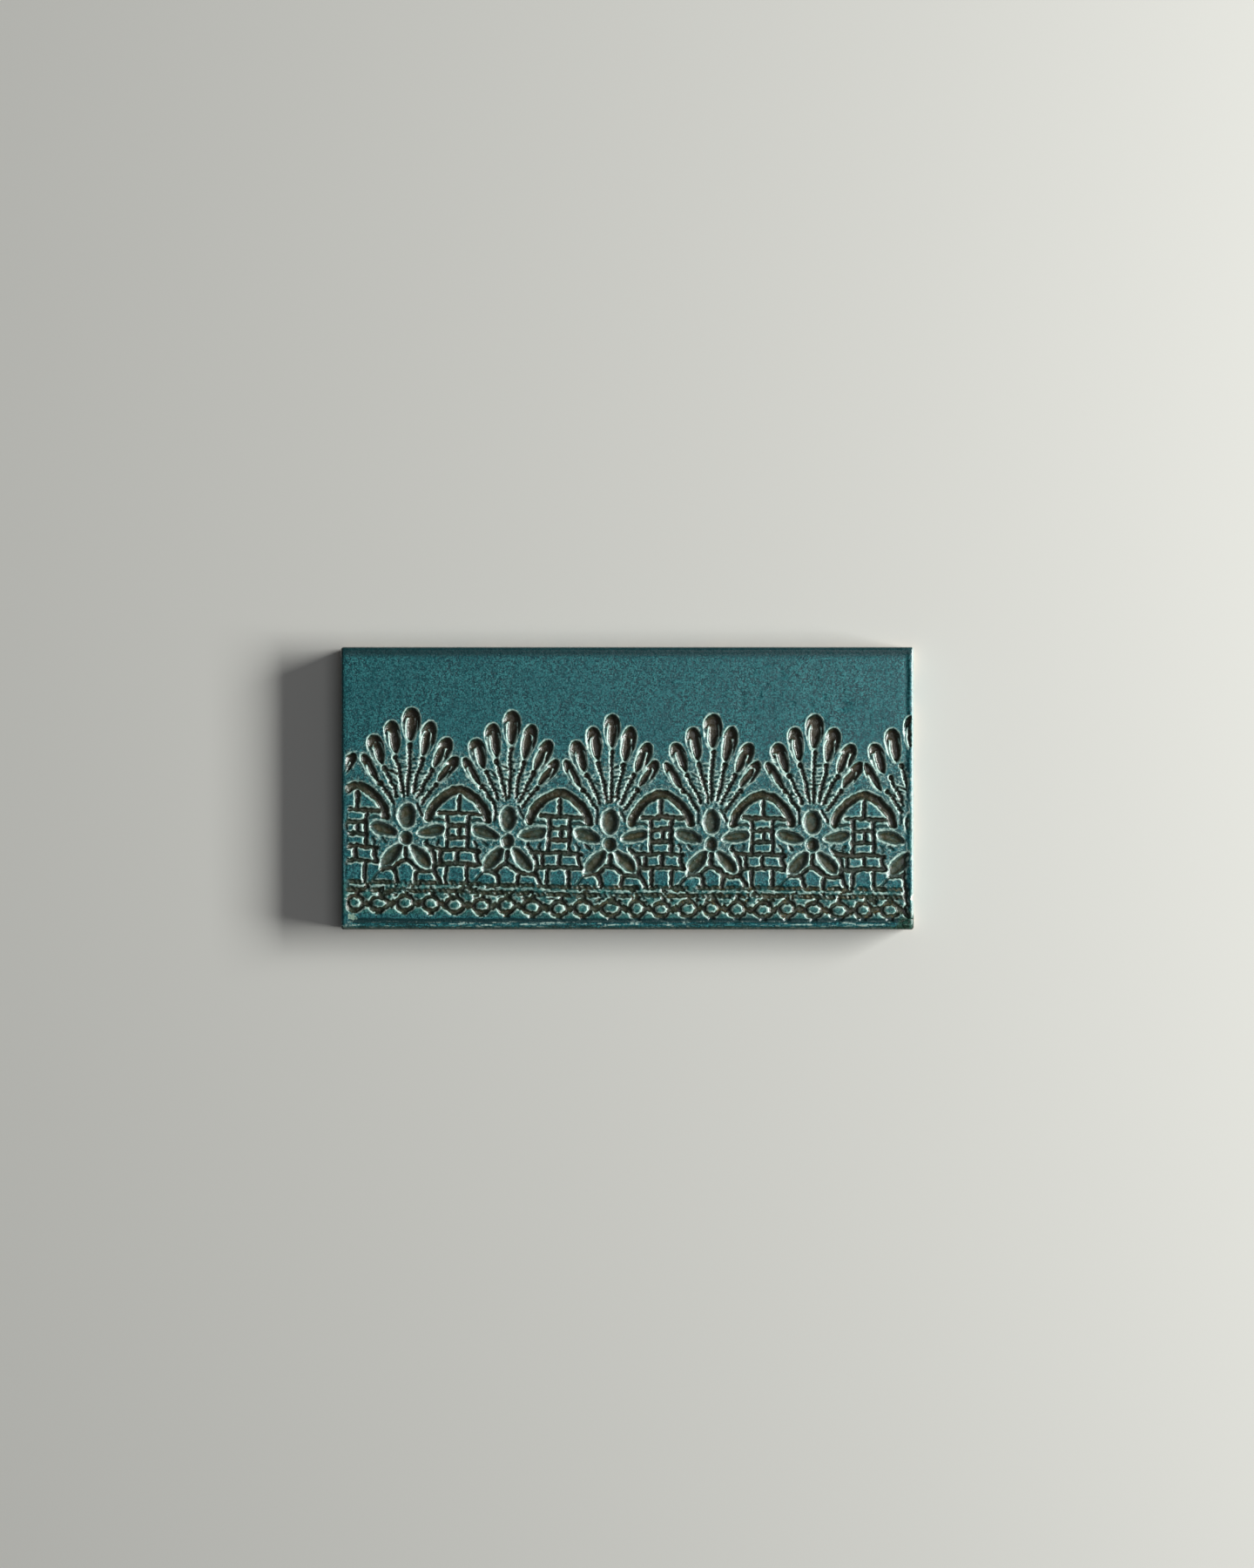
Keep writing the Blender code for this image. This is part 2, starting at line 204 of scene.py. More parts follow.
class Relief:
    """The pressed clay, on a regular grid over the face."""

    def __init__(self):
        nx, ny = int(round(LENGTH / STEP)) + 1, int(round(WIDTH / STEP)) + 1
        self.xs = np.linspace(-LENGTH / 2, LENGTH / 2, nx)
        self.ys = np.linspace(-WIDTH / 2, WIDTH / 2, ny)
        self.x, self.y = np.meshgrid(self.xs, self.ys)
        s, t = unplace(self.x, self.y)
        # the soft clay drags the threads about a little, least about the beads
        calm = 1.0 - 0.45 * smooth(2.0, 9.0, t)
        s, t = [v + 0.17 * fractal(self.x, self.y, 5.5, k) + calm * (
            0.125 * value_noise(self.x, self.y, 1.15, k + 1) + 0.085 * value_noise(self.x, self.y, 0.6, k + 2))
            for v, k in ((s, 11), (t, 21))]
        self.s, self.t = s, t
        self.depth = np.zeros_like(s)       # depth of the impression
        self.lift = np.zeros_like(s)        # clay pushed up along the rims
        self.collar = np.zeros_like(s)      # thin glaze round the petals and beads
        self.inner = np.zeros_like(s)       # and down their walls, plus a painted highlight along the right side of each bead's inner leaf
        self.olive = np.zeros_like(s)       # where the pooled glaze turns olive
        self.petal_in = np.zeros_like(s)    # inside the petals
        self.core = np.zeros_like(s)        # and their middles

    def window(self, s0, s1, t0, t1, margin):
        lo = np.searchsorted(self.xs, s0 - margin - 2.4)
        hi = np.searchsorted(self.xs, s1 + margin + 2.4)
        bo = np.searchsorted(self.ys, t0 - margin - 0.8)
        to = np.searchsorted(self.ys, t1 + margin + 3.4)
        if lo >= hi or bo >= to:
            return None
        return (slice(bo, to), slice(lo, hi))

    def leaf(self, a, b, half, swell, w):
        """Signed distance to a leaf outline, positive inside, and its own axes."""
        s, t = self.s[w], self.t[w]
        cx, cy = (a[0] + b[0]) / 2, (a[1] + b[1]) / 2
        length = math.hypot(a[0] - b[0], a[1] - b[1]) / 2
        dx, dy = (a[0] - b[0]) / (2 * length), (a[1] - b[1]) / (2 * length)
        p = ((s - cx) * dx + (t - cy) * dy) / length
        wide = half * np.clip(1 + swell * p, 0.4, 2.0)
        q = (-(s - cx) * dy + (t - cy) * dx) / wide
        rho = np.hypot(p, q) + 1e-6
        grad = np.sqrt((p / length) ** 2 + (q / wide) ** 2) / rho + 1e-6
        return (1 - rho) / grad, p, q

    def path(self, points, w):
        """Distance to a line through points, and the run along it."""
        s, t = self.s[w], self.t[w]
        best = np.full(s.shape, 1e3)
        along_best = np.zeros(s.shape)
        total = 0.0
        for (x0, y0), (x1, y1) in zip(points, points[1:]):
            run = math.hypot(x1 - x0, y1 - y0)
            dx, dy = (x1 - x0) / run, (y1 - y0) / run
            along = np.clip((s - x0) * dx + (t - y0) * dy, 0.0, run)
            d = np.hypot(s - x0 - along * dx, t - y0 - along * dy)
            better = d < best
            best = np.where(better, d, best)
            along_best = np.where(better, total + along, along_best)
            total += run
        return best, along_best, total

    def press(self, w, depth):
        self.depth[w] = np.maximum(self.depth[w], depth)

    def raise_rim(self, w, d, height=0.10, collar=0.0):
        self.lift[w] = np.maximum(self.lift[w], height * np.exp(-((d + 0.10) / 0.17) ** 2))
        self.collar[w] = np.maximum(self.collar[w], collar * np.exp(-((d + 0.16) / 0.30) ** 2))

    # -- the parts of the lace --
    def bead(self, s, spec, rng):
        a, b, half, swell, ia, ib, ihalf = spec
        j = rng.uniform(-0.16, 0.16, 6)
        a = (s + a[0] + j[0], a[1] + j[1])
        b = (s + b[0] + j[2], b[1])
        ia = (s + ia[0] + j[0] + 0.3 * j[3], ia[1] + j[1])
        ib = (s + ib[0] + j[2], ib[1])
        ihalf = ihalf * (1 + 0.6 * j[4])
        w = self.window(min(a[0], b[0]), max(a[0], b[0]), b[1], a[1], half + 1)
        if w is None:
            return
        d, p, q = self.leaf(a, b, half * (1 + 0.3 * j[5]), swell, w)
        di, pi, qi = self.leaf(ia, ib, ihalf, 0.0, w)
        rough = value_noise(self.s[w], self.t[w], 1.0, 63)
        grain = value_noise(self.s[w], self.t[w], 0.55, 68)
        # a deep hood at the outer end, running on as a channel down the right wall
        full = 0.30 + 0.62 * (1.0 - (1.0 - np.clip(d / (0.66 * half), 0, 1)) ** 1.6)
        lean = 1.0 if a[0] > b[0] else 0.45
        channel = lean * smooth(0.22, 0.46, -q) * smooth(-0.42, 0.02, p + 0.12 * rough)
        hood = np.maximum(smooth(0.20, 0.46, p + 0.16 * rough), channel)
        shallow = 0.19 + 0.08 * rough + 0.05 * grain
        # a leaf sunk from the hood to the stem, ridged off along both its sides
        leaf = 0.62 * smooth(-0.14, 0.24, di) + 0.24 * smooth(0.1, 0.9, di)
        side = smooth(0.86, 0.50, pi)
        ridge = (0.30 + 0.20 * rough) * np.exp(-((di + 0.20 + 0.06 * grain) / 0.17) ** 2) * side
        bowl = smooth(-0.05, 0.24, d) * (shallow + (full - shallow) * hood) - ridge * smooth(0.0, 0.3, d)
        self.press(w, np.where(d > -0.05, np.clip(np.maximum(bowl, leaf * smooth(-0.05, 0.20, d)), 0, None), 0))
        self.raise_rim(w, d, 0.10, 0.32)
        bank = smooth(-0.10, 0.12, d) * (1.0 - hood) * smooth(-0.02, -0.22, di) * (0.44 + 0.55 * rough + 0.35 * grain)
        # a pale line of thin glaze along the inner leaf, made stronger on its right side as a painted highlight where
        # the ridge faces the light
        line = (0.46 + 0.42 * smooth(0.1, 0.5, -q)) * np.exp(-((di + 0.15 + 0.05 * grain) / 0.15) ** 2) * side * smooth(0.0, 0.25, d) * (0.70 + 0.55 * grain)
        self.inner[w] = np.maximum(self.inner[w], np.clip(np.maximum(bank, line), 0, 1))

    def stem(self, s, points, rng):
        pts = [(s + u + rng.uniform(-0.22, 0.22), v) for u, v in points]
        w = self.window(min(p[0] for p in pts), max(p[0] for p in pts), pts[-1][1], pts[0][1], 1.5)
        if w is None:
            return
        d, along, total = self.path(pts, w)
        half = 0.61 + 0.13 * np.sin(along * 2 * math.pi / 1.05 + rng.uniform(0, 6)) + \
            0.12 * value_noise(self.s[w], self.t[w], 1.3, 66)
        fade = smooth(total + 0.1, total - 1.2, along)
        self.press(w, 0.64 * smooth(half, half - 0.32, d) * (0.55 + 0.45 * fade))
        self.raise_rim(w, half - d, 0.10, 0.20)
        # the knot where the stem meets its bead
        kx, ky = pts[0]
        k = np.hypot(self.s[w] - kx, (self.t[w] - ky + 0.25) * 0.9)
        self.press(w, 0.80 * smooth(0.92, 0.35, k))

    def ladder(self, s, rng):
        """Short threads across the fan, rung by rung between neighbouring stems."""
        order = (3, 2, 1, 0, 4, 5, 6)
        for i, j in zip(order, order[1:]):
            a, b = np.array(STEMS[i])[::-1], np.array(STEMS[j])[::-1]
            low, high = max(a[0, 1], b[0, 1]) + 0.6, min(a[-1, 1], b[-1, 1]) + 0.1
            level = low + rng.uniform(0, 0.6)
            while level < high:
                x0, x1 = np.interp(level, a[:, 1], a[:, 0]), np.interp(level, b[:, 1], b[:, 0])
                if x1 - x0 > 1.15 and rng.uniform() < 0.80:
                    tilt = rng.uniform(-0.45, 0.45) + 0.08 * (x0 + x1)
                    room = max(0.0, x1 - x0 - 1.9)
                    x0, x1 = x0 + 0.4 + room * rng.uniform(0, 0.4), x1 - 0.4 - room * rng.uniform(0, 0.4)
                    pts = [(s + x0, level - tilt / 2), (s + x1, level + tilt / 2)]
                    w = self.window(pts[0][0], pts[1][0], level - 0.6, level + 0.6, 0.8)
                    if w is not None:
                        d, _, _ = self.path(pts, w)
                        worn = 0.70 + 0.9 * value_noise(self.s[w], self.t[w], 0.8, 64)
                        self.press(w, rng.uniform(0.16, 0.44) * worn * smooth(0.48, 0.12, d))
                        self.raise_rim(w, 0.48 - d, 0.05, 0.72)
                level += rng.uniform(0.95, 1.45)

    def petal(self, s, spec, rng):
        (u, v), length, half, turn, swell = spec
        j = rng.uniform(-1, 1, 4)
        turn = math.radians(turn + 2.0 * j[0])
        length, half = length * (1 + 0.03 * j[1]), half * (1 + 0.05 * j[2])
        c, n = math.cos(turn), math.sin(turn)
        a = (s + u + length * c, v + length * n)
        b = (s + u - length * c, v - length * n)
        w = self.window(min(a[0], b[0]), max(a[0], b[0]), min(a[1], b[1]), max(a[1], b[1]), half + 1)
        if w is None:
            return
        d, p, q = self.leaf(a, b, half, swell, w)
        bowl = 0.40 * smooth(-0.05, 0.45, d) + 0.40 * smooth(-0.3, 1.9, d)
        stitch = 0.030 * np.sin(p * length * 2 * math.pi / 0.62 + 1.2 * q) * smooth(0.1, 0.6, d)
        self.press(w, np.where(d > -0.05, bowl + stitch, 0))
        self.raise_rim(w, d, 0.14, 0.75)
        self.inner[w] = np.maximum(self.inner[w], np.where(d > -0.3, 0.45 * np.exp(-((d - 0.16) / 0.26) ** 2), 0))
        self.olive[w] = np.maximum(self.olive[w], smooth(0.0, 0.8, d))
        self.petal_in[w] = np.maximum(self.petal_in[w], smooth(0.0, 0.5, d))
        self.core[w] = np.maximum(self.core[w], smooth(0.35, 1.5, d))

    def boss(self, s):
        w = self.window(s - 3, s + 2, BOSS[1] - 2, BOSS[1] + 2, 1)
        if w is None:
            return
        r = np.hypot(self.s[w] - s - BOSS[0], 0.88 * (self.t[w] - BOSS[1]))
        self.press(w, 0.60 * smooth(BOSS_R, BOSS_R - 0.5, r) + 0.25 * smooth(BOSS_R - 0.3, 0.2, r))
        self.raise_rim(w, BOSS_R - r, 0.10, 0.35)
        self.olive[w] = np.maximum(self.olive[w], 0.6 * smooth(BOSS_R, BOSS_R - 0.8, r))
        self.petal_in[w] = np.maximum(self.petal_in[w], smooth(BOSS_R, BOSS_R - 0.5, r))
        self.core[w] = np.maximum(self.core[w], 0.8 * smooth(BOSS_R - 0.2, 0.6, r))

    def arch(self, s, rng):
        pts = []
        for i in range(33):
            angle = math.pi * i / 32
            c, n = math.cos(angle), math.sin(angle)
            power = 2.0 / ARCH_POWER
            pts.append((s + ARCH_MID - math.copysign(abs(c) ** power, c) * ARCH_HALF_SPAN,
                        ARCH_FOOT + n ** power * ARCH_RISE))
        w = self.window(pts[0][0], pts[-1][0], ARCH_FOOT, ARCH_FOOT + ARCH_RISE, 1.6)
        if w is None:
            return
        d, along, total = self.path(pts, w)
        half = ARCH_HALF + 0.17 * value_noise(self.s[w], self.t[w], 1.1, 61)
        rough = 0.10 * value_noise(self.s[w], self.t[w], 0.8, 62) + 0.06 * value_noise(self.s[w], self.t[w], 0.45, 67)
        self.press(w, (0.66 + rough) * smooth(half, half - 0.36, d) + 0.24 * smooth(half - 0.35, 0.1, d))
        self.raise_rim(w, half - d, 0.10, 0.40)
        self.olive[w] = np.maximum(self.olive[w], 0.5 * smooth(ARCH_HALF, 0.4, d))

    def thread(self, points, half, depth, rng):
        w = self.window(min(p[0] for p in points), max(p[0] for p in points),
                        min(p[1] for p in points), max(p[1] for p in points), 1.2)
        if w is None:
            return
        d, along, _ = self.path(points, w)
        half = half * (1 + 0.10 * np.sin(along * 2 * math.pi / rng.uniform(1.3, 2.1) + rng.uniform(0, 6))) + \
            0.09 * value_noise(self.s[w], self.t[w], 0.9, 65)
        self.press(w, depth * smooth(half, half - 0.30, d))
        self.raise_rim(w, half - d, 0.16 * depth)

    def net(self, s, rng):
        """The net of threads between the arches, the flowers and the border."""
        for spec in THREADS:
            pts = [(s + u + rng.uniform(-0.13, 0.13), v + rng.uniform(-0.13, 0.13)) for u, v in spec]
            self.thread(pts, THREAD_HALF * rng.uniform(0.88, 1.14), THREAD_DEPTH * rng.uniform(0.82, 1.1), rng)
        for spec in FAINT:
            pts = [(s + u + rng.uniform(-0.12, 0.12), v + rng.uniform(-0.12, 0.12)) for u, v in spec]
            self.thread(pts, 0.56, 0.30 * rng.uniform(0.6, 1.2), rng)

    def border(self):
        s, t = self.s, self.t
        wob = 0.20 * fractal(s, t, 1.8, 31)
        lumps = fractal(s, t * 1.2, 1.7, 37)
        for v, half, depth in ((CORD_1, 0.86, 0.60), (CORD_2, 0.90, 0.68)):
            d = np.abs(t - v + wob)
            broken = 0.70 + 0.85 * fractal(s, t * 0.6, 2.6, 41 + int(v)) + \
                0.16 * np.sin((s + 0.6 * t) * 2 * math.pi / 1.35)
            self.depth = np.maximum(self.depth, depth * smooth(half, half - 0.55, d) * np.clip(broken, 0.0, 1.15))
        # the clay between the cords and about the rings is pitted where threads cross
        pits = 0.50 * smooth(0.10, 0.62, lumps) * smooth(-25.4, -26.2, t) * smooth(-31.2, -29.6, t)
        # the chain of rings, each tied to the next and linked up to the cord
        phase = (s - FIRST_MOTIF - RING_OFFSET) / RING_PITCH
        number = np.round(phase)
        du = (phase - number) * RING_PITCH
        shift = 0.25 * np.sin(number * 2.4)
        lift = 0.18 * np.sin(number * 1.7 + 0.6)
        du, dv = du - shift, t - RING_V - lift
        wide, tall = RING_A * (1 + 0.06 * np.sin(number * 4.1)), RING_B * (1 + 0.07 * np.sin(number * 2.9 + 1))
        angle = np.arctan2(dv / tall, du / wide)
        middle = np.hypot(wide * np.cos(angle), tall * np.sin(angle))
        d = np.abs(np.hypot(du, dv) - middle)
        half = RING_HALF + 0.09 * np.sin(angle * 7 + number) + 0.10 * value_noise(s, t, 1.1, 43)
        ring = 0.74 * smooth(half, half - 0.32, d) * (0.9 + 0.25 * lumps)
        foot = 0.55 * smooth(0.95, 0.60, np.abs(du)) * smooth(-32.8, -33.4, t) * smooth(-34.9, -34.4, t)
        tie = 0.72 * smooth(1.10, 0.55, np.hypot((np.abs(du) - RING_PITCH / 2) * 0.75, dv * 0.85))
        link = 0.62 * smooth(0.85, 0.45, np.abs(du - 0.35 + 0.5 * np.sin(number * 3.1) + 0.4 * lumps)) * \
            smooth(-30.9, -30.0, t) * smooth(-28.0, -28.7, t)
        zone = smooth(-34.9, -34.2, t)
        self.depth = np.maximum(self.depth, np.maximum.reduce([ring * zone, tie, link, foot, pits]))
        band = smooth(-25.2, -26.2, t) * smooth(-35.2, -34.2, t)
        self.olive = np.maximum(self.olive, 0.55 * band)

    def build(self):
        rng = np.random.RandomState(5)
        for number in range(-1, 7):
            self.net(FIRST_MOTIF + number * PITCH, rng)
        for number in range(-1, 7):
            s = FIRST_MOTIF + number * PITCH
            for stem in STEMS:
                self.stem(s, stem, rng)
            self.ladder(s, rng)
            self.arch(s, rng)
            for spec in PETALS:
                self.petal(s, spec, rng)
            self.boss(s)
            for spec in BEADS:
                if number >= 0 or spec is BEADS[-1]:
                    self.bead(s - (1.1 if number == 5 else 0.0), spec, rng)
        self.border()
        # the strip of lace ends short of the glaze lip
        ends = self.x + 0.75 * fractal(self.x, self.y, 2.0, 51)
        reach = 0.75 * smooth(9.0, 12.0, self.y)
        fade = smooth(-75.2, -73.4, ends) * smooth(74.5 + reach, 73.9 + reach, ends)
        self.fade = fade
        self.depth = (self.depth - self.lift * smooth(0.45, 0.1, self.depth)) * fade
        return self


class Face:
    """What the mesh and its colours read off the pressed and glazed face."""

    def __init__(self):
        r = Relief().build()
        self.xs, self.ys = r.xs, r.ys
        clay = -r.depth
        lace = smooth(0.02, 0.14, blur(r.depth, 1.3))
        clay = clay + lace * (0.060 * value_noise(r.x, r.y, 0.85, 77) + 0.038 * value_noise(r.x, r.y, 0.45, 78))
        in_x, in_y = LENGTH / 2 - np.abs(r.x), WIDTH / 2 - np.abs(r.y)
        inset = np.minimum(in_x, in_y) - 0.25 * np.exp(-np.abs(in_x - in_y) / 0.8)
        rag = inset + 0.22 * fractal(r.x, r.y, 5.0, 74)
        # glaze fills the sharpest corners, and dries pebbly where it pools
        surface = 0.70 * blur(clay, 0.12) + 0.30 * blur(clay, 0.24)
        pooled = smooth(0.12, 0.45, r.depth)
        surface = surface + pooled * (0.030 * value_noise(r.x, r.y, 0.75, 75) + 0.020 * value_noise(r.x, r.y, 0.42, 76))
        # the slab isn't quite flat, and a low lip and valley follow its rim
        lie = 0.050 * fractal(r.x, r.y, 17.0, 71) + 0.018 * fractal(r.x, r.y, 3.6, 72) \
            + 0.008 * value_noise(r.x, r.y, 1.1, 73)
        near = np.minimum(in_x, in_y)
        right = blur(np.where((in_x == near) & (r.x > 0), 1.0, 0.0), 0.8)
        left = blur(np.where((in_x == near) & (r.x < 0), 1.0, 0.0), 0.8)
        top = blur(np.where((in_y == near) & (r.y > 0), 1.0, 0.0), 0.8)
        bottom = blur(np.where((in_y == near) & (r.y < 0), 1.0, 0.0), 0.8)
        lie = lie + right * (0.15 * np.exp(-((rag - 1.05) / 0.50) ** 2) - 0.13 * np.exp(-((rag - 2.15) / 0.70) ** 2)) \
            + top * (0.05 * np.exp(-((rag - 1.05) / 0.50) ** 2) - 0.07 * np.exp(-((rag - 2.10) / 0.62) ** 2)) \
            + bottom * (0.16 * np.exp(-((rag - 1.35) / 0.38) ** 2) - 0.20 * np.exp(-((rag - 2.25) / 0.60) ** 2))
        # the lower right corner ran ragged in the fire
        corner = smooth(72.0, 73.4, r.x) * smooth(-33.0, -34.2, r.y)
        lie = lie + corner * (0.30 * fractal(r.x, r.y, 1.3, 84) + 0.06)
        # a shallow dent and a few pits in the plain field
        lie = lie - 0.24 * np.exp(-((r.x - 58.1) / 2.2) ** 2 - ((r.y - 21.9) / 1.1) ** 2)
        dented = np.exp(-((r.x - 46.0) / 24.0) ** 2 - ((r.y - 25.0) / 9.0) ** 2)
        lie = lie + dented * (0.060 * fractal(r.x, r.y, 2.6, 79) - 0.09 * smooth(0.45, 0.8, value_noise(r.x, r.y, 1.7, 80)))
        self.height = surface + lie
        self.gy, self.gx = np.gradient(self.height, STEP)
        crest = 0.5 + 0.5 * smooth(-14.0, -8.0, r.t)
        worn = 0.75 + 0.45 * value_noise(r.x, r.y, 0.8, 85) + 0.25 * value_noise(r.x, r.y, 0.4, 86)
        self.rim = (clay - blur(clay, 0.28)) / 0.155 + r.collar * worn * smooth(0.30, 0.0, r.depth)
        # thin glaze in broken veins round the flowers and between the stems
        beside = np.abs((r.s - FIRST_MOTIF + PITCH / 2) % PITCH - PITCH / 2 + 0.4)
        zone = smooth(10.2, 7.6, beside + 0.35 * np.clip(r.t, 0, None)) * smooth(-21.0, -18.5, r.t) * smooth(7.5, 2.5, r.t)
        crown = ARCH_FOOT + (ARCH_RISE + 1.0) * (1.0 - np.clip((PITCH / 2 - beside) / 9.2, 0, 1) ** 2) ** 0.6
        outside = smooth(0.0, 0.5, r.t - crown) * smooth(12.0, 5.0, r.t) * smooth(0.012, 0.07, blur(r.depth, 1.0))
        zone = np.maximum(zone, 0.9 * outside)
        self.veins = zone * smooth(0.20, 0.04, blur(r.depth, 0.14)) * r.fade
        patchy = 0.84 + 0.34 * value_noise(r.x, r.y, 0.9, 88) + 0.30 * value_noise(r.x, r.y, 0.45, 89)
        self.rim = np.clip(np.clip(self.rim, 0, 1) * patchy + r.inner * r.fade * worn, 0, 1)
        dent = np.exp(-((r.x - 58.1 + 0.5 * (r.y - 21.9)) / 0.75) ** 2 - ((r.y - 21.9) / 1.9) ** 2)
        self.halo = np.clip((clay - blur(clay, 0.55)) / 0.26 - 0.15, 0, 1) * crest
        # painted shade: darker in the valleys inside the rim, along the left edge and in the dent
        self.valley_shade = np.maximum.reduce([
            right * 0.42 * np.exp(-((rag - 2.20) / 0.60) ** 2), top * 0.35 * np.exp(-((rag - 2.10) / 0.70) ** 2),
            bottom * 1.25 * np.exp(-((rag - 2.45) / 0.66) ** 2),
            left * 0.55 * np.exp(-((rag - 0.5) / 0.8) ** 2),
            0.52 * dent])
        self.core = blur(r.core, 0.2)
        self.petal = blur(r.petal_in, 0.2)
        self.pool = np.clip(blur(r.depth, 0.12) / 0.9, 0, 1)
        self.olive = blur(r.olive, 0.2)

    def read(self, field, x, y):
        """A field's values at points of the face."""
        u = np.clip((x - self.xs[0]) / (self.xs[1] - self.xs[0]), 0, len(self.xs) - 1.001)
        v = np.clip((y - self.ys[0]) / (self.ys[1] - self.ys[0]), 0, len(self.ys) - 1.001)
        iu, iv = u.astype(int), v.astype(int)
        fu, fv = u - iu, v - iv
        return (field[iv, iu] * (1 - fu) + field[iv, iu + 1] * fu) * (1 - fv) + \
            (field[iv + 1, iu] * (1 - fu) + field[iv + 1, iu + 1] * fu) * fv


# ---- the mesh -------------------------------------------------------------------
def spread(reach, inner):
    """Grid lines from one edge to the other, crowded in the rounded rim."""
    core = reach - CORNER
    n = int(round(2 * core / inner))
    out = np.array([row[0] for row in RIM[1:]])
    return np.concatenate([-core - out[::-1], np.linspace(-core, core, n + 1), core + out])


def slab(face, inner):
    """The closed slab: a grid over the face, rings down the side, and the back."""
    ps, qs = spread(LENGTH / 2, inner), spread(WIDTH / 2, inner)
    p, q = np.meshgrid(ps, qs)
    core_x, core_y = LENGTH / 2 - CORNER, WIDTH / 2 - CORNER
    over_x, over_y = np.maximum(np.abs(p) - core_x, 0), np.maximum(np.abs(q) - core_y, 0)
    r = np.maximum(over_x, over_y)
    low = np.minimum(over_x, over_y) / np.maximum(r, 1e-9)
    turn = np.where(over_y <= over_x, low * math.pi / 4, math.pi / 2 - low * math.pi / 4)
    table = np.array(RIM)
    out = CORNER - np.interp(r, table[:, 0], table[:, 1])
    drop = np.interp(r, table[:, 0], table[:, 2]) - FACE
    x = np.sign(p) * (np.minimum(np.abs(p), core_x) + out * np.cos(turn) * (over_x > 0))
    y = np.sign(q) * (np.minimum(np.abs(q), core_y) + out * np.sin(turn) * (over_y > 0))
    chip = np.exp(-((y + 29.1) / 0.75) ** 2) * smooth(74.9, 75.7, x)
    x = x - 0.45 * chip * smooth(75.3, 75.9, x)
    drop = drop - 0.30 * chip
    hold = smooth(0.70, 0.30, r)
    z = FACE + drop + face.read(face.height, x, y) * hold
    ny, nx = x.shape
    points = [np.stack([x, y, z], -1).reshape(-1, 3)]
    index = np.arange(nx * ny).reshape(ny, nx)
    quads = [np.stack([index[:-1, :-1], index[:-1, 1:], index[1:, 1:], index[1:, :-1]], -1).reshape(-1, 4)]
    loop = np.concatenate([index[0, :-1], index[:-1, -1], index[-1, :0:-1], index[:0:-1, 0]])
    rim = points[0][loop]
    # outward direction of each place on the rim
    cx, cy = np.clip(rim[:, 0], -core_x, core_x), np.clip(rim[:, 1], -core_y, core_y)
    away = np.stack([rim[:, 0] - cx, rim[:, 1] - cy], -1)
    away /= np.linalg.norm(away, axis=1)[:, None]
    run = np.concatenate([[0], np.cumsum(np.linalg.norm(np.diff(rim[:, :2], axis=0), axis=1))])
    count = nx * ny
    last = loop
    for inset, height in SIDE:
        wave = 0.05 * (value_noise(run, run * 0 + height, 6.0, 81) - 1.0) * (0.3 < height)
        ring = np.empty_like(rim)
        ring[:, :2] = rim[:, :2] - away * (inset - wave[:, None])
        ring[:, 2] = height
        points.append(ring)
        here = np.arange(count, count + len(loop))
        count += len(loop)
        quads.append(np.stack([last, np.roll(last, -1), np.roll(here, -1), here], -1)[:, ::-1])
        last = here
    mesh = bpy.data.meshes.new("tile_glazed")
    faces = [tuple(f) for f in np.concatenate(quads).tolist()]
    faces.append(tuple(last[::-1].tolist()))
    mesh.from_pydata(np.concatenate(points) * 0.001, [], faces)
    mesh.validate()
    mesh.update()
    return mesh


def thin_out(mesh, faces):
    """Fewer triangles where the surface is flat."""
    obj = bpy.data.objects.new("tile_glazed", mesh)
    bpy.context.scene.collection.objects.link(obj)
    total = sum(len(f.vertices) - 2 for f in mesh.polygons)
    modifier = obj.modifiers.new("thin", "DECIMATE")
    modifier.ratio = min(1.0, faces / total)
    graph = bpy.context.evaluated_depsgraph_get()
    made = bpy.data.meshes.new_from_object(obj.evaluated_get(graph), depsgraph=graph)
    obj.modifiers.clear()
    obj.data = made
    made.name = "tile_glazed"
    bpy.data.meshes.remove(mesh)
    return obj


def dress(obj, face):
    """Normals and colour masks of the thinned mesh, read off the full relief."""
    mesh = obj.data
    n = len(mesh.vertices)
    co = np.empty(n * 3)
    mesh.vertices.foreach_get("co", co)
    co = co.reshape(-1, 3) * 1000.0
    own = np.empty(n * 3)
    mesh.vertices.foreach_get("normal", own)
    own = own.reshape(-1, 3)
    x, y, z = co.T
    inset = np.minimum(LENGTH / 2 - np.abs(x), WIDTH / 2 - np.abs(y))
    up = np.stack([-face.read(face.gx, x, y), -face.read(face.gy, x, y), np.ones(n)], -1)
    up /= np.linalg.norm(up, axis=1)[:, None]
    w = (smooth(0.9, 1.6, inset) * (z > 5.0))[:, None]
    normal = up * w + own * (1 - w)
    normal /= np.linalg.norm(normal, axis=1)[:, None]
    mesh.polygons.foreach_set("use_smooth", np.ones(len(mesh.polygons), dtype=bool))
    mesh.normals_split_custom_set_from_vertices(normal.tolist())
    top = smooth(7.4, 7.9, z)
    for name, field in (("rim", face.rim), ("halo", face.halo), ("pool", face.pool), ("olive", face.olive),
                        ("core", face.core), ("petal", face.petal), ("valley_shade", face.valley_shade),
                        ("veins", face.veins)):
        data = mesh.attributes.new(name, "FLOAT", "POINT")
        data.data.foreach_set("value", (face.read(field, x, y) * top).astype(np.float32))


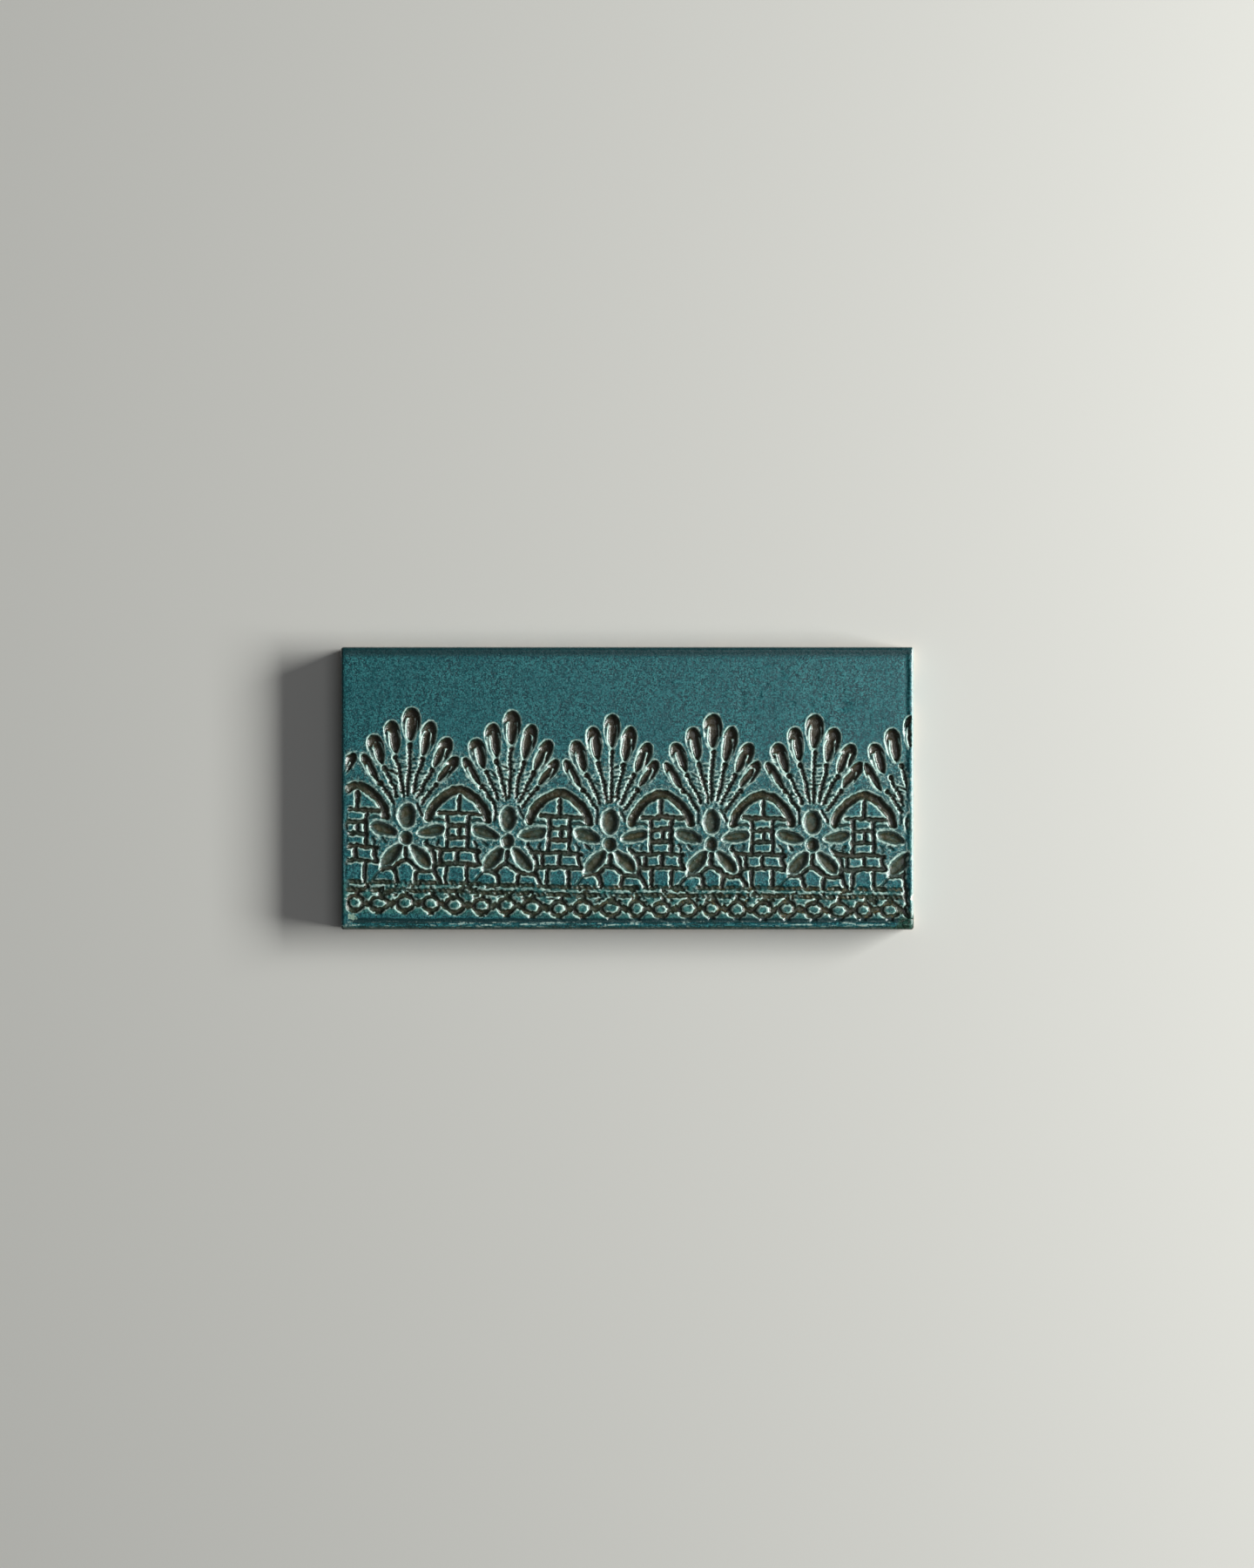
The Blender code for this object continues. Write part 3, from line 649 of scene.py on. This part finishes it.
def lay_flat(mesh):
    """A map for the glaze: the face in one sheet, then the sides and the back."""
    count = len(mesh.polygons)
    centre, normal = np.empty(count * 3), np.empty(count * 3)
    mesh.polygons.foreach_get("center", centre)
    mesh.polygons.foreach_get("normal", normal)
    centre, normal = centre.reshape(-1, 3) * 1000.0, normal.reshape(-1, 3)
    sizes = np.empty(count, dtype=int)
    mesh.polygons.foreach_get("loop_total", sizes)
    corner = np.empty(len(mesh.loops), dtype=int)
    mesh.loops.foreach_get("vertex_index", corner)
    co = np.empty(len(mesh.vertices) * 3)
    mesh.vertices.foreach_get("co", co)
    co = co.reshape(-1, 3)[corner] * 1000.0
    inset = np.minimum(LENGTH / 2 - np.abs(centre[:, 0]), WIDTH / 2 - np.abs(centre[:, 1]))
    along_x = np.abs(normal[:, 1]) > np.abs(normal[:, 0])
    kind = np.select([(inset > 0.85) & (centre[:, 2] > 5.0), normal[:, 2] > 0.45, normal[:, 2] < -0.45],
                     [0, 0, 1], np.where(along_x, np.where(normal[:, 1] > 0, 2, 3), np.where(normal[:, 0] > 0, 4, 5)))
    kind = np.repeat(kind, sizes)
    x, y, z = co.T
    gap, across, small = 1.0, LENGTH + 4.0, 0.55
    base = WIDTH + 2 * gap
    tall = 10.0 + gap
    u = np.select([kind == 0, kind == 1, kind <= 3, kind == 4], [
        x + LENGTH / 2, (x + LENGTH / 2) * small, x + LENGTH / 2, y + WIDTH / 2], y + WIDTH / 2 + WIDTH + gap)
    v = np.select([kind == 0, kind == 1, kind == 2, kind == 3], [
        y + WIDTH / 2, (WIDTH / 2 - y) * small + base + 3 * tall, z + base, z + base + tall], z + base + 2 * tall)
    uv = np.stack([u + 2.0, v + 2.0], -1) / across
    layer = mesh.uv_layers.new(name="OFBake")
    layer.data.foreach_set("uv", uv.astype(np.float32).ravel())


# ---- materials ------------------------------------------------------------------
class Graph:
    """Short way to lay out a node tree."""

    def __init__(self, material):
        material.use_nodes = True
        self.tree = material.node_tree
        self.tree.nodes.clear()

    def add(self, kind, inputs=(), **settings):
        node = self.tree.nodes.new(kind)
        for key, value in settings.items():
            setattr(node, key, value)
        for key, value in dict(inputs).items():
            if isinstance(value, bpy.types.NodeSocket):
                self.tree.links.new(value, node.inputs[key])
            else:
                node.inputs[key].default_value = value
        return node

    def math(self, operation, a, b=0.0, clamp=False):
        return self.add("ShaderNodeMath", {0: a, 1: b}, operation=operation, use_clamp=clamp).outputs[0]

    def step(self, value, low, high, to_low=0.0, to_high=1.0):
        node = self.add("ShaderNodeMapRange", {"Value": value, "From Min": low, "From Max": high,
                                               "To Min": to_low, "To Max": to_high},
                        interpolation_type="SMOOTHSTEP", clamp=True)
        return node.outputs["Result"]

    def mix(self, factor, a, b):
        node = self.add("ShaderNodeMix", data_type="RGBA", clamp_factor=True)
        for socket, value in ((node.inputs[0], factor), (node.inputs[6], a), (node.inputs[7], b)):
            if isinstance(value, bpy.types.NodeSocket):
                self.tree.links.new(value, socket)
            else:
                socket.default_value = value if not isinstance(value, tuple) else (*value, 1.0)
        return node.outputs[2]

    def noise(self, vector, scale, detail=2.0, rough=0.5):
        return self.add("ShaderNodeTexNoise", {"Vector": vector, "Scale": scale, "Detail": detail,
                                               "Roughness": rough}).outputs["Fac"]


def glaze_material():
    material = bpy.data.materials.new("glaze")
    g = Graph(material)
    place = g.add("ShaderNodeTexCoord").outputs["Object"]
    split = g.add("ShaderNodeSeparateXYZ", {0: place})
    px, py, pz = split.outputs
    rim = g.add("ShaderNodeAttribute", attribute_name="rim").outputs["Fac"]
    pool = g.add("ShaderNodeAttribute", attribute_name="pool").outputs["Fac"]
    halo = g.add("ShaderNodeAttribute", attribute_name="halo").outputs["Fac"]
    olive = g.add("ShaderNodeAttribute", attribute_name="olive").outputs["Fac"]

    core = g.add("ShaderNodeAttribute", attribute_name="core").outputs["Fac"]
    petal = g.add("ShaderNodeAttribute", attribute_name="petal").outputs["Fac"]
    valley_shade = g.add("ShaderNodeAttribute", attribute_name="valley_shade").outputs["Fac"]

    fine = g.noise(place, 2400.0, 3.0, 0.7)        # grain of half a millimetre
    mottle = g.noise(place, 1050.0, 4.0, 0.72)     # cloudy mottle of a millimetre
    drift = g.noise(place, 330.0, 2.0, 0.5)        # blotches of a few millimetres
    cloud = g.noise(place, 95.0, 2.0, 0.5)         # slow drift over a centimetre

    # glaze of middling thickness on the plain field
    teal = g.mix(g.step(mottle, 0.43, 0.57), (0.002, 0.043, 0.055), (0.018, 0.150, 0.164))
    teal = g.mix(g.step(fine, 0.52, 0.61, 0.0, 0.85), teal, (0.054, 0.246, 0.256))
    teal = g.mix(g.step(fine, 0.49, 0.39, 0.0, 0.90), teal, (0.001, 0.024, 0.033))
    teal = g.mix(g.step(cloud, 0.35, 0.65, 0.0, 0.30), teal, (0.006, 0.086, 0.102))
    teal = g.mix(g.step(drift, 0.56, 0.66, 0.0, 0.35), teal, (0.003, 0.050, 0.062))
    # greener over the border
    sea = g.mix(g.step(mottle, 0.42, 0.58), (0.005, 0.046, 0.040), (0.034, 0.166, 0.138))
    teal = g.mix(g.step(olive, 0.20, 0.55, 0.0, 0.60), teal, sea)
    # thinner in the fans, where the clay was pushed up between the threads
    teal = g.mix(g.step(halo, 0.10, 0.75, 0.0, 0.60), teal, (0.105, 0.262, 0.230))

    # pooled thick it goes dark green and brown, olive in the broad hollows
    brown = g.mix(g.step(mottle, 0.38, 0.62), (0.005, 0.010, 0.005), (0.030, 0.043, 0.030))
    brown = g.mix(g.step(drift, 0.50, 0.66, 0.0, 0.40), brown, (0.052, 0.034, 0.020))
    brown = g.mix(g.step(pool, 0.66, 0.90, 0.0, 0.74), brown, (0.046, 0.032, 0.017))
    green = g.mix(g.step(drift, 0.35, 0.65), (0.034, 0.040, 0.016), (0.020, 0.048, 0.036))
    dark = g.mix(g.math("MULTIPLY", olive, g.step(mottle, 0.40, 0.64)), brown, green)
    dark = g.mix(g.step(fine, 0.54, 0.68, 0.0, 0.45), dark, (0.080, 0.118, 0.096))
    gold = g.math("MULTIPLY", g.step(olive, 0.15, 0.50), g.math("MULTIPLY", g.step(fine, 0.50, 0.60), g.step(drift, 0.46, 0.60)))
    warm = g.step(g.math("SUBTRACT", px, g.math("MULTIPLY", py, 1.2)), -0.030, 0.080, 0.35, 1.0)
    dark = g.mix(g.math("MULTIPLY", gold, g.math("MULTIPLY", warm, 0.75)), dark, (0.125, 0.098, 0.034))
    # the petals are warmer in the middle and cooler towards their walls
    dark = g.mix(g.math("MULTIPLY", g.step(core, 0.55, 0.10), g.math("MULTIPLY", petal, 0.80)), dark,
                 (0.056, 0.094, 0.086))
    dark = g.mix(g.step(core, 0.45, 1.0, 0.0, 0.60), dark, g.mix(g.step(drift, 0.4, 0.6), (0.060, 0.055, 0.026),
                                                                 (0.040, 0.066, 0.050)))
    edge = g.math("ADD", pool, g.math("MULTIPLY", g.math("SUBTRACT", fine, 0.5), 0.26))
    edge = g.math("SUBTRACT", edge, g.math("MULTIPLY", g.step(core, 0.6, 0.0), g.math("MULTIPLY", petal, 0.14)))
    colour = g.mix(g.step(edge, 0.03, 0.20), teal, (0.013, 0.050, 0.047))
    colour = g.mix(g.step(edge, 0.20, 0.40), colour, dark)

    # thin over the rims it breaks pale; through the rim mask this also carries a painted highlight along the right side
    # of each bead's inner leaf
    wash = g.mix(g.step(mottle, 0.3, 0.7), (0.195, 0.365, 0.325), (0.485, 0.600, 0.540))
    thin = g.math("ADD", rim, g.math("MULTIPLY", g.math("SUBTRACT", mottle, 0.5), 0.60))
    thin = g.math("ADD", thin, g.math("MULTIPLY", olive, 0.10))
    colour = g.mix(g.step(thin, 0.25, 0.75, 0.0, 0.95), colour, wash)

    # in broken veins round the flowers and stems
    zone = g.add("ShaderNodeAttribute", attribute_name="veins").outputs["Fac"]
    crack = g.math("ABSOLUTE", g.math("SUBTRACT", g.noise(place, 620.0, 3.0, 0.55), 0.5))
    vein = g.math("MULTIPLY", g.step(crack, 0.040, 0.012), g.step(fine, 0.40, 0.56, 0.15, 1.0))
    colour = g.mix(g.math("MULTIPLY", g.math("MULTIPLY", vein, zone), 0.80), colour, wash)
    colour = g.mix(g.math("MULTIPLY", g.math("MULTIPLY", g.step(mottle, 0.52, 0.40), zone), 0.70), colour,
                   (0.008, 0.044, 0.043))

    # painted shade in the valleys inside the rim, along the left edge and in the dent, and darker along the upper edge
    low = g.math("ADD", valley_shade, g.math("MULTIPLY", g.math("SUBTRACT", mottle, 0.5), 1.1))
    colour = g.mix(g.step(low, 0.25, 0.75, 0.0, 0.92), colour, (0.005, 0.026, 0.029))
    # (on the face only, not down the sides)
    over = g.math("ADD", pz, g.math("MULTIPLY", g.math("SUBTRACT", drift, 0.5), 0.0030))
    over = g.step(over, 0.0060, 0.0078)
    band = g.math("ADD", py, g.math("MULTIPLY", g.math("SUBTRACT", mottle, 0.5), 0.0022))
    colour = g.mix(g.math("MULTIPLY", over, g.step(band, 0.0342, 0.0360, 0.0, 0.88)), colour, (0.006, 0.032, 0.037))
    # streaks, pale and dark, along the lower lip
    drawn = g.add("ShaderNodeVectorMath", {0: place, 1: (0.16, 1.0, 1.0)}, operation="MULTIPLY").outputs["Vector"]
    streak = g.noise(drawn, 1500.0, 3.0, 0.6)
    lip = g.math("MULTIPLY", g.step(py, -0.0350, -0.0357), g.step(pz, 0.0080, 0.0084))
    colour = g.mix(g.math("MULTIPLY", g.math("MULTIPLY", lip, g.step(streak, 0.46, 0.38)), 0.80), colour,
                   (0.010, 0.034, 0.032))
    crest = g.math("MULTIPLY", lip, g.math("MULTIPLY", g.step(streak, 0.53, 0.60), g.step(mottle, 0.40, 0.54)))
    colour = g.mix(g.math("MULTIPLY", crest, 0.85), colour, wash)
    # a pale patch in the lower left corner
    patch = g.add("ShaderNodeVectorMath", {0: place, 1: (-0.0729, -0.0340, 0.0087)}, operation="DISTANCE")
    patch = g.math("ADD", patch.outputs["Value"], g.math("MULTIPLY", g.math("SUBTRACT", mottle, 0.5), 0.0055))
    colour = g.mix(g.step(patch, 0.00100, 0.00050, 0.0, 0.75), colour, (0.36, 0.52, 0.40))
    # brown over the lower edge and ragged at its right end
    foot = g.math("ADD", g.math("MULTIPLY", py, -1.0), g.math("MULTIPLY", g.math("SUBTRACT", mottle, 0.5), 0.0016))
    colour = g.mix(g.math("MULTIPLY", over, g.step(foot, 0.0363, 0.0370, 0.0, 0.85)), colour, (0.022, 0.036, 0.024))
    ends = g.math("ADD", g.math("ADD", px, g.math("MULTIPLY", py, -1.0)),
                  g.math("MULTIPLY", g.math("SUBTRACT", drift, 0.5), 0.0050))
    ends = g.math("ADD", ends, g.math("MULTIPLY", g.math("SUBTRACT", mottle, 0.5), 0.0030))
    below = g.math("ADD", py, g.math("MULTIPLY", g.math("SUBTRACT", drift, 0.5), 0.0060))
    ragged = g.math("MULTIPLY", g.step(ends, 0.1064, 0.1074), g.step(below, -0.0325, -0.0335))
    ragged = g.math("MULTIPLY", ragged, g.step(g.math("ADD", pz, g.math("MULTIPLY", drift, 0.004)), 0.0050, 0.0066))
    colour = g.mix(g.math("MULTIPLY", ragged, 0.88), colour,
                   g.mix(g.step(mottle, 0.44, 0.58), (0.008, 0.016, 0.006), (0.026, 0.085, 0.060)))
    # painted highlight along the arris of the right end, which faces the light, down to the ragged corner
    arris = g.math("ADD", px, g.math("MULTIPLY", g.math("SUBTRACT", mottle, 0.5), 0.0005))
    arris_highlight = g.math("MULTIPLY", g.step(arris, 0.07535, 0.07565), g.step(py, -0.0340, -0.0330))
    ledge = g.math("ADD", pz, g.math("MULTIPLY", g.math("SUBTRACT", mottle, 0.5), 0.0010))
    ledge = g.math("ADD", ledge, g.math("MULTIPLY", g.math("SUBTRACT", drift, 0.5), 0.0018))
    arris_highlight = g.math("MULTIPLY", arris_highlight, g.step(ledge, 0.0077, 0.0082))
    colour = g.mix(g.math("MULTIPLY", arris_highlight, 0.90), colour, (0.31, 0.38, 0.36))
    chip = g.add("ShaderNodeVectorMath", {0: place, 1: (0.0757, -0.0291, 0.0083)}, operation="DISTANCE")
    chipped = g.math("ADD", chip.outputs["Value"], g.math("MULTIPLY", g.math("SUBTRACT", mottle, 0.5), 0.0022))
    colour = g.mix(g.step(chipped, 0.00095, 0.00075), colour, (0.78, 0.76, 0.70))

    # bare clay low on the sides and over the back
    line = g.math("ADD", pz, g.math("MULTIPLY", g.math("SUBTRACT", cloud, 0.5), 0.004))
    clay_mask = g.step(line, 0.0019, 0.0011)
    clay = g.mix(g.step(mottle, 0.3, 0.7), (0.46, 0.34, 0.24), (0.60, 0.47, 0.35))
    colour = g.mix(clay_mask, colour, clay)

    rough = g.step(mottle, 0.3, 0.7, 0.18, 0.32)
    rough = g.math("SUBTRACT", rough, g.step(pool, 0.6, 0.95, 0.0, 0.06))
    rough = g.add("ShaderNodeMix", {0: clay_mask, 2: rough, 3: 0.85}, data_type="FLOAT").outputs[0]

    peel = g.add("ShaderNodeBump", {"Height": g.math("ADD", mottle, g.math("MULTIPLY", fine, 0.35)),
                                    "Strength": 0.50, "Distance": 0.00022}).outputs["Normal"]
    surface = g.add("ShaderNodeBsdfPrincipled", {"Base Color": colour, "Roughness": rough, "Normal": peel,
                                                 "IOR": 1.5})
    out = g.add("ShaderNodeOutputMaterial")
    g.tree.links.new(surface.outputs[0], out.inputs[0])
    return material


def plain_material(name, colour, rough):
    material = bpy.data.materials.new(name)
    g = Graph(material)
    surface = g.add("ShaderNodeBsdfPrincipled", {"Base Color": (*colour, 1.0), "Roughness": rough})
    out = g.add("ShaderNodeOutputMaterial")
    g.tree.links.new(surface.outputs[0], out.inputs[0])
    return material


# ---- the tile -------------------------------------------------------------------
face = Face()
tile = thin_out(slab(face, STEP), FACES)
dress(tile, face)
lay_flat(tile.data)
tile.data.materials.clear()
tile.data.materials.append(glaze_material())
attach(tile, "root")
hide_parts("tile")

# ---- floor, light and camera ----------------------------------------------------
bpy.ops.mesh.primitive_plane_add(size=10.0, location=(0, 0, 0))
floor = bpy.context.object
floor.name = "floor"
floor.data.materials.append(plain_material("floor", (0.62, 0.60, 0.57), 0.9))

world = bpy.data.worlds.new("world")
bpy.context.scene.world = world
world.use_nodes = True
world.node_tree.nodes["Background"].inputs["Color"].default_value = (0.92, 0.96, 1.0, 1.0)
world.node_tree.nodes["Background"].inputs["Strength"].default_value = 0.07


def lamp(name, place, size, watts, tint=(1.0, 0.97, 0.93)):
    data = bpy.data.lights.new(name, "AREA")
    data.shape, data.size, data.size_y = "RECTANGLE", size[0], size[1]
    data.energy, data.color = watts, tint
    obj = bpy.data.objects.new(name, data)
    bpy.context.scene.collection.objects.link(obj)
    obj.location = place
    aim = -obj.location.normalized()
    obj.rotation_mode = "QUATERNION"
    obj.rotation_quaternion = aim.to_track_quat("-Z", "Y")
    return obj


lamp("key", (1.24, 0.14, 0.50), (0.90, 0.35), 41.0, (0.965, 1.0, 0.975))
lamp("panel", (0.34, 0.05, 1.10), (0.26, 0.60), 1.6, (0.95, 0.98, 1.0))

camera_data = bpy.data.cameras.new("camera")
camera = bpy.data.objects.new("camera", camera_data)
bpy.context.scene.collection.objects.link(camera)
camera.location = (-0.0001, 0.00115, 0.8088)
camera_data.sensor_width, camera_data.lens = 36.0, 69.33
camera_data.clip_start, camera_data.clip_end = 0.01, 20.0
bpy.context.scene.camera = camera

bpy.context.scene.view_settings.view_transform = "Standard"
